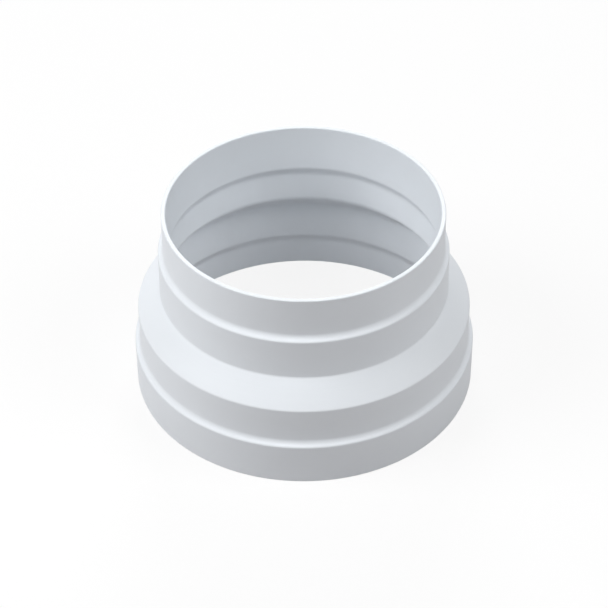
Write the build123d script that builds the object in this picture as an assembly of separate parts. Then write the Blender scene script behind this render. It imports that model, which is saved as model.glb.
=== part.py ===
from build123d import *
import math
import os

# Duct reducer, moulded in one piece of white plastic: a spigot above, which goes into the smaller duct's
# socket, and a socket below, which goes over the larger duct's end, with a cone between them.
# It stands on the socket's rim. The origin is the middle of that rim, and Z runs up the axis.

# Outside diameters of the two ducts that it joins
SMALL_DUCT = 125.0
LARGE_DUCT = 150.0

# Thickness of the wall, and the gap all round between a duct and the socket that it goes into
WALL = 2.0
FIT_GAP = 0.25

# Heights of the five bands, from the upper rim down to the lower one
SPIGOT_HEIGHT = 21.0
COLLAR_HEIGHT = 19.75
CONE_HEIGHT = 10.5
BODY_HEIGHT = 19.25
SOCKET_HEIGHT = 20.5

# A ledge runs round the foot of the spigot, and another round the top of the socket.
# Outside, each slopes down to its edge by this angle from level, with a short straight between its two
# roundings.
LEDGE_SLOPE = 28.0
LEDGE_STRAIGHT = 0.12

# Inside, each ledge is a steeper slope, and the socket's stops a duct's end. It starts this far below the
# outer ledge's edge. The cone is thicker too: its inner face lies this much lower than an even wall would
# put it.
INNER_LEDGE_SLOPE = 62.0
INNER_LEDGE_DEPTH = 2.2
INNER_CONE_DROP = 1.3

# Roundings of the outer face: on the ledges' edges, and at the top and the foot of the cone
LEDGE_EDGE_ROUND = 1.2
CONE_TOP_ROUND = 1.5
CONE_FOOT_ROUND = 1.5

# Roundings of the inner face: at the top and the foot of each ledge, and at both ends of the cone
INNER_LEDGE_TOP_ROUND = 4.0
INNER_LEDGE_FOOT_ROUND = 7.0
INNER_CONE_ROUND = 5.0

# Both rims are rounded on their two edges, and this width between the roundings is flat
RIM_FLAT = 1.0

# Each ledge is as wide as a socket's wall and gap, so a duct's socket on the spigot lies flush with
# the collar, and a duct as wide as the body goes into this socket.
ledge_width = WALL + FIT_GAP
spigot_radius = SMALL_DUCT / 2
collar_radius = spigot_radius + ledge_width
body_radius = LARGE_DUCT / 2
socket_radius = body_radius + ledge_width

socket_ledge = SOCKET_HEIGHT
cone_foot = socket_ledge + BODY_HEIGHT
cone_top = cone_foot + CONE_HEIGHT
spigot_ledge = cone_top + COLLAR_HEIGHT
upper_rim = spigot_ledge + SPIGOT_HEIGHT

# The face turns out of the upright by this much at a ledge, outside and inside, and at the cone, and back
# again. At the cone, half the turn says how far lower the inner face of an even wall turns.
ledge_turn = math.pi / 2 - math.radians(LEDGE_SLOPE)
inner_turn = math.pi / 2 - math.radians(INNER_LEDGE_SLOPE)
cone_turn = math.atan2(body_radius - collar_radius, CONE_HEIGHT)
cone_lag = WALL * math.tan(cone_turn / 2) + INNER_CONE_DROP

# The root of a ledge takes the rounding that its straight and its edge leave room for
ledge_drop = ledge_width / math.tan(ledge_turn)
ledge_length = ledge_width / math.sin(ledge_turn)
ledge_root_round = (ledge_length - LEDGE_STRAIGHT) / math.tan(ledge_turn / 2) - LEDGE_EDGE_ROUND
rim_round = (WALL - RIM_FLAT) / 2

# Inside, a ledge is as wide as outside and reaches further down
inner_drop = ledge_width / math.tan(inner_turn)
spigot_stop = spigot_ledge - INNER_LEDGE_DEPTH
socket_stop = socket_ledge - INNER_LEDGE_DEPTH

# Corners of the outer face from the top down: radius, height, rounding
outer_corners = [
    (spigot_radius, upper_rim, rim_round),
    (spigot_radius, spigot_ledge + ledge_drop, ledge_root_round),
    (collar_radius, spigot_ledge, LEDGE_EDGE_ROUND),
    (collar_radius, cone_top, CONE_TOP_ROUND),
    (body_radius, cone_foot, CONE_FOOT_ROUND),
    (body_radius, socket_ledge + ledge_drop, ledge_root_round),
    (socket_radius, socket_ledge, LEDGE_EDGE_ROUND),
    (socket_radius, 0, rim_round),
]

# Corners of the inner face in the same order, each a wall's thickness inside its band
inner_corners = [
    (spigot_radius - WALL, upper_rim, rim_round),
    (spigot_radius - WALL, spigot_stop, INNER_LEDGE_TOP_ROUND),
    (collar_radius - WALL, spigot_stop - inner_drop, INNER_LEDGE_FOOT_ROUND),
    (collar_radius - WALL, cone_top - cone_lag, INNER_CONE_ROUND),
    (body_radius - WALL, cone_foot - cone_lag, INNER_CONE_ROUND),
    (body_radius - WALL, socket_stop, INNER_LEDGE_TOP_ROUND),
    (socket_radius - WALL, socket_stop - inner_drop, INNER_LEDGE_FOOT_ROUND),
    (socket_radius - WALL, 0, rim_round),
]

# Section through the wall: down the outer face, across the lower rim, up the inner face, across the upper rim
corners = outer_corners + inner_corners[::-1]
outline = FilletPolyline(
    *[(radius, height) for radius, height, rounding in corners],
    radius=[rounding for radius, height, rounding in corners],
    close=True,
)
reducer_body = revolve(Plane.XZ * make_face(outline), Axis.Z)

os.makedirs("parts", exist_ok=True)
export_step(reducer_body, "parts/reducer_body.step")
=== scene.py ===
import bmesh
import bpy
import math
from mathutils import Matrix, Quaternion, Vector


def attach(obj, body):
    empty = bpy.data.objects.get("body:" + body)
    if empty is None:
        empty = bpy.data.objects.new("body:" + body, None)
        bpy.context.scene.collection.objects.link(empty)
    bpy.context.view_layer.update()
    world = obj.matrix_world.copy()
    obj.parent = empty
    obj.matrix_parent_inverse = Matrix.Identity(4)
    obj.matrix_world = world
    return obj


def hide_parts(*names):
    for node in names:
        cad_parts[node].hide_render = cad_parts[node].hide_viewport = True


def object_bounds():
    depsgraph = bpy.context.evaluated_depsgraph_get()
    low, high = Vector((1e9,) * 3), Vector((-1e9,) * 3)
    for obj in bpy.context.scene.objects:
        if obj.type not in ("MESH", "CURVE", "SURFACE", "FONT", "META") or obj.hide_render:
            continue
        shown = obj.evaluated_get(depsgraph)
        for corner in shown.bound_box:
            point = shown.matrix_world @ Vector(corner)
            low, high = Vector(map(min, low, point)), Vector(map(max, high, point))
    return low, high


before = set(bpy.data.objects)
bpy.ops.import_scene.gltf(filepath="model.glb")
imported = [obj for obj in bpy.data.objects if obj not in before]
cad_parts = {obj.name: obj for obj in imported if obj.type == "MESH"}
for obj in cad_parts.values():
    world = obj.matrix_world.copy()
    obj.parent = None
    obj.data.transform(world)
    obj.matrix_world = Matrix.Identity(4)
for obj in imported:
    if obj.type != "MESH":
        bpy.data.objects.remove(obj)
cad_low, cad_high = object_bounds()

# The reducer: one moulding in cool white ABS with a satin skin, made over a turned core in a turned mould.
# Its shape is the CAD solid's own section, turned in even steps, so that the light runs evenly round the
# ledges. The plastic has clouds in the pigment, a fine grain, faint rings and a gloss that isn't quite even.
TURN_STEPS = 288
SAME_POINT = 0.000001
WHITE_DEEP = (0.795, 0.834, 0.874, 1)
WHITE_PALE = (0.828, 0.864, 0.902, 1)
CLOUD_SIZE = 0.035
SMUDGE_SIZE = 0.014
GRAIN_SIZE = 0.00045
GRAIN_DEPTH = 0.000022
RING_PITCH = 0.0009
RING_DEPTH = 0.000022
GLOSS_BEST = 0.50
GLOSS_WORST = 0.60
PLASTIC_IOR = 1.5
SHEEN_LEVEL = 0.4

section = bmesh.new()
section.from_mesh(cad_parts["reducer_body"].data)
bmesh.ops.remove_doubles(section, verts=section.verts[:], dist=SAME_POINT)
bmesh.ops.bisect_plane(
    section,
    geom=section.verts[:] + section.edges[:] + section.faces[:],
    dist=SAME_POINT,
    plane_co=(0, 0, 0),
    plane_no=(0, 1, 0),
    clear_inner=True,
    clear_outer=True,
)
far_side = [vert for vert in section.verts if vert.co.x < 0]
bmesh.ops.delete(section, geom=far_side, context="VERTS")
bmesh.ops.spin(
    section,
    geom=section.verts[:] + section.edges[:],
    cent=(0, 0, 0),
    axis=(0, 0, 1),
    angle=math.tau,
    steps=TURN_STEPS,
    use_merge=True,
)
bmesh.ops.recalc_face_normals(section, faces=section.faces[:])
for face in section.faces:
    face.smooth = True
turned_data = bpy.data.meshes.new("reducer_turned")
section.to_mesh(turned_data)
section.free()
reducer_turned = bpy.data.objects.new("reducer_turned", turned_data)
bpy.context.scene.collection.objects.link(reducer_turned)
level_bands = reducer_turned.modifiers.new("level_bands", "WEIGHTED_NORMAL")
level_bands.mode = "FACE_AREA"
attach(reducer_turned, "root")
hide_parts("reducer_body")


class Wire:
    """One socket of a node tree. Sums written with it add Math nodes to that tree."""

    def __init__(self, tree, socket=None):
        self.tree = tree
        self.socket = socket

    def node(self, kind, settings=None, sockets=None, output=0):
        """Adds a node: its settings are made first, then its sockets take their values or links."""
        added = self.tree.nodes.new(kind)
        for name, setting in (settings or {}).items():
            setattr(added, name, setting)
        for name, value in (sockets or {}).items():
            if isinstance(value, Wire):
                self.tree.links.new(value.socket, added.inputs[name])
            else:
                added.inputs[name].default_value = value
        return Wire(self.tree, added.outputs[output] if added.outputs else None)

    def maths(self, operation, first, second):
        return self.node("ShaderNodeMath", {"operation": operation}, {0: first, 1: second})

    def __add__(self, other):
        return self.maths("ADD", self, other)

    def __radd__(self, other):
        return self.maths("ADD", other, self)

    def __sub__(self, other):
        return self.maths("SUBTRACT", self, other)

    def __rsub__(self, other):
        return self.maths("SUBTRACT", other, self)

    def __mul__(self, other):
        return self.maths("MULTIPLY", self, other)

    def __rmul__(self, other):
        return self.maths("MULTIPLY", other, self)

    def __truediv__(self, other):
        return self.maths("DIVIDE", self, other)

    def __rtruediv__(self, other):
        return self.maths("DIVIDE", other, self)

    def __pow__(self, other):
        return self.maths("POWER", self, other)

    def __rpow__(self, other):
        return self.maths("POWER", other, self)


white_plastic = bpy.data.materials.new("white_plastic_moulded")
white_plastic.use_nodes = True
white_plastic.node_tree.nodes.clear()
plastic = Wire(white_plastic.node_tree)
place = plastic.node("ShaderNodeTexCoord", output="Object")
across = plastic.node("ShaderNodeSeparateXYZ", sockets={"Vector": place}, output="X")
along = plastic.node("ShaderNodeSeparateXYZ", sockets={"Vector": place}, output="Y")
height = plastic.node("ShaderNodeSeparateXYZ", sockets={"Vector": place}, output="Z")
radius = (across * across + along * along) ** 0.5

clouds = plastic.node(
    "ShaderNodeTexNoise",
    sockets={"Vector": place, "Scale": 1 / CLOUD_SIZE, "Detail": 3.0, "Roughness": 0.55},
)
smudges = plastic.node(
    "ShaderNodeTexNoise",
    sockets={"Vector": place, "Scale": 1 / SMUDGE_SIZE, "Detail": 4.0, "Roughness": 0.6},
)
grain = plastic.node(
    "ShaderNodeTexNoise",
    sockets={"Vector": place, "Scale": 1 / GRAIN_SIZE, "Detail": 1.0},
)
ring_place = plastic.node("ShaderNodeCombineXYZ", sockets={"X": radius, "Z": height})
rings = plastic.node(
    "ShaderNodeTexNoise",
    sockets={"Vector": ring_place, "Scale": 1 / RING_PITCH, "Detail": 2.0},
)
pigment = plastic.node(
    "ShaderNodeMix",
    {"data_type": "RGBA"},
    {"Factor": clouds, "A": WHITE_DEEP, "B": WHITE_PALE},
    output="Result",
)
relief = grain * GRAIN_DEPTH + rings * RING_DEPTH
bumped = plastic.node("ShaderNodeBump", sockets={"Height": relief, "Distance": 1.0, "Strength": 1.0})
skin = plastic.node(
    "ShaderNodeBsdfPrincipled",
    sockets={
        "Base Color": pigment,
        "Roughness": GLOSS_BEST + (GLOSS_WORST - GLOSS_BEST) * smudges,
        "IOR": PLASTIC_IOR,
        "Specular IOR Level": SHEEN_LEVEL,
        "Normal": bumped,
    },
)
plastic.node("ShaderNodeOutputMaterial", sockets={"Surface": skin})
turned_data.materials.append(white_plastic)

# The studio floor: one wide sheet of plain white board, level with the socket's rim. It looks white where
# the light falls openly on it and keeps a soft shadow, and it throws only part of its light back up.
FLOOR_SIDE = 12.0
BOARD_WHITE = (0.90, 0.90, 0.90, 1)
BOARD_BOUNCE = (0.42, 0.40, 0.40, 1)
BOARD_GLOW_SHARE = 0.84
BACKGROUND_WHITE = (1, 1, 1, 1)

floor_mesh = bmesh.new()
bmesh.ops.create_grid(floor_mesh, x_segments=1, y_segments=1, size=FLOOR_SIDE / 2)
floor_data = bpy.data.meshes.new("studio_floor")
floor_mesh.to_mesh(floor_data)
floor_mesh.free()
studio_floor = bpy.data.objects.new("studio_floor", floor_data)
bpy.context.scene.collection.objects.link(studio_floor)


def seen_directly(wire):
    """1 for a ray that the camera or a reflection sends out, and 0 for one that only carries light."""
    rays = [
        wire.node("ShaderNodeLightPath", output=name)
        for name in ("Is Camera Ray", "Is Glossy Ray", "Is Transmission Ray")
    ]
    return wire.maths("MAXIMUM", wire.maths("MAXIMUM", rays[0], rays[1]), rays[2])


white_board = bpy.data.materials.new("white_board")
white_board.use_nodes = True
white_board.node_tree.nodes.clear()
board = Wire(white_board.node_tree)
card = board.node("ShaderNodeBsdfDiffuse", sockets={"Color": BOARD_WHITE})
glow = board.node("ShaderNodeEmission", sockets={"Color": BACKGROUND_WHITE, "Strength": 1.0})
shown = board.node("ShaderNodeMixShader", sockets={0: BOARD_GLOW_SHARE, 1: card, 2: glow})
bounce = board.node("ShaderNodeBsdfDiffuse", sockets={"Color": BOARD_BOUNCE})
sheet = board.node("ShaderNodeMixShader", sockets={0: seen_directly(board), 1: bounce, 2: shown})
board.node("ShaderNodeOutputMaterial", sockets={"Surface": sheet})
floor_data.materials.append(white_board)

# The studio light: five soft boxes about a metre away. The large one on the left gives the modelling, the
# right one and a small one in front open the shadows, a small one held high draws the bright line along
# the ledges, and one behind lights the inside.
WALL_STRENGTH = 0.02
LAMP_DISTANCE = 1.2

studio = bpy.data.worlds.new("studio")
studio.use_nodes = True
studio.node_tree.nodes.clear()
bpy.context.scene.world = studio
walls = Wire(studio.node_tree)
dim = walls.node("ShaderNodeBackground", sockets={"Color": BACKGROUND_WHITE, "Strength": WALL_STRENGTH})
bright = walls.node("ShaderNodeBackground", sockets={"Color": BACKGROUND_WHITE, "Strength": 1.0})
surround = walls.node("ShaderNodeMixShader", sockets={0: seen_directly(walls), 1: dim, 2: bright})
walls.node("ShaderNodeOutputWorld", sockets={"Surface": surround})


def soft_box(name, turn, rise, side, watts):
    """A square lamp aimed at the reducer. Turn runs from the camera's side of it towards the right."""
    lamp = bpy.data.lights.new(name, "AREA")
    lamp.shape = "SQUARE"
    lamp.size = side
    lamp.energy = watts
    holder = bpy.data.objects.new(name, lamp)
    bpy.context.scene.collection.objects.link(holder)
    turn = math.radians(turn)
    rise = math.radians(rise)
    level = math.cos(rise)
    towards = Vector((math.sin(turn) * level, -math.cos(turn) * level, math.sin(rise)))
    holder.location = (cad_low + cad_high) / 2 + towards * LAMP_DISTANCE
    holder.rotation_mode = "QUATERNION"
    holder.rotation_quaternion = towards.to_track_quat("Z", "Y")


soft_box("left_box", turn=-76, rise=40, side=0.8, watts=10.8)
soft_box("right_box", turn=71, rise=44, side=0.7, watts=7.0)
soft_box("front_box", turn=-15, rise=44, side=0.5, watts=1.2)
soft_box("high_box", turn=5, rise=60, side=0.3, watts=1.3)
soft_box("back_box", turn=180, rise=28, side=0.5, watts=6.2)

# The camera: a long lens, looking down on the reducer from a metre away and turned a little about its own
# line of sight, as the photograph's was.
IMAGE_SIDE = 608
FOCAL_PIXELS = 2181.8
SENSOR_SIDE = 36.0
CAMERA_DISTANCE = 0.9904
LOOKING_DOWN = 40.411
AIM_HEIGHT = 0.03639
CAMERA_ROLL = -0.357

lens = bpy.data.cameras.new("camera")
lens.sensor_width = SENSOR_SIDE
lens.lens = FOCAL_PIXELS / IMAGE_SIDE * SENSOR_SIDE
camera = bpy.data.objects.new("camera", lens)
bpy.context.scene.collection.objects.link(camera)
bpy.context.scene.camera = camera
dip = math.radians(LOOKING_DOWN)
backwards = Vector((0, -math.cos(dip), math.sin(dip)))
camera.location = Vector((0, 0, AIM_HEIGHT)) + backwards * CAMERA_DISTANCE
camera.rotation_mode = "QUATERNION"
level_view = backwards.to_track_quat("Z", "Y")
camera.rotation_quaternion = level_view @ Quaternion((0, 0, 1), math.radians(CAMERA_ROLL))
bpy.context.scene.view_settings.view_transform = "Standard"
